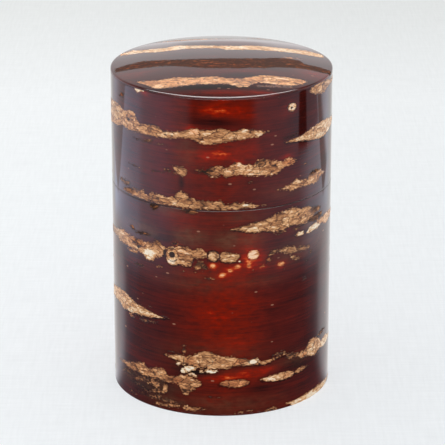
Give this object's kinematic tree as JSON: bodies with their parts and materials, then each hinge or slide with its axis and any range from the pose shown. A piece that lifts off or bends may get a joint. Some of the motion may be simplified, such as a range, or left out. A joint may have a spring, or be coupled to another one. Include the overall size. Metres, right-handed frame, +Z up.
{
  "type": "tea caddy",
  "caption": "Cylindrical cherry-bark tea caddy: body with an inner neck, lift-off lid with a low crown, and a knobbed inner lid.",
  "frame": {"origin": "centre of the base, on the surface that the caddy stands on", "axes": "+Z up along the caddy's axis, -Y towards the front of the bark's figure, +X to the right seen from the front; the bark's lap is at the back, on +Y"},
  "size_m": [0.078, 0.078, 0.1209],
  "materials": {
    "polished_bark": "polished cherry bark, deep glossy red-brown with corky tan bands",
    "lining_bark": "scraped cherry bark, satin brown",
    "veneer": "plain sanded veneer and board, matte"
  },
  "bodies": {
    "body": {"body_bark": "polished_bark", "body_core": "veneer", "base_board": "veneer", "base_bark": "polished_bark", "tube_core": "veneer", "tube_bark": "lining_bark", "tube_lining": "lining_bark", "floor_bark": "lining_bark"},
    "lid": {"lid_bark": "polished_bark", "lid_core": "veneer", "lid_lining": "lining_bark", "crown_board": "veneer", "crown_bark": "polished_bark", "ceiling_bark": "lining_bark"},
    "inner_lid": {"inner_lid_board": "veneer", "inner_lid_top_bark": "polished_bark", "inner_lid_edge_bark": "polished_bark", "inner_lid_plug_bark": "lining_bark", "inner_lid_under_bark": "lining_bark", "inner_lid_knob": "polished_bark"}
  },
  "joints": [
    {"name": "lid_slide", "type": "slide", "parent": "body", "child": "lid", "axis": [0, 0, 1], "range_m": [0, 0.13]},
    {"name": "inner_lid_slide", "type": "slide", "parent": "body", "child": "inner_lid", "axis": [0, 0, 1], "range_m": [0, 0.052]}
  ],
  "couplings": [
    {"joint": "inner_lid_slide", "follows": "lid_slide", "ratio": 0.4}
  ]
}
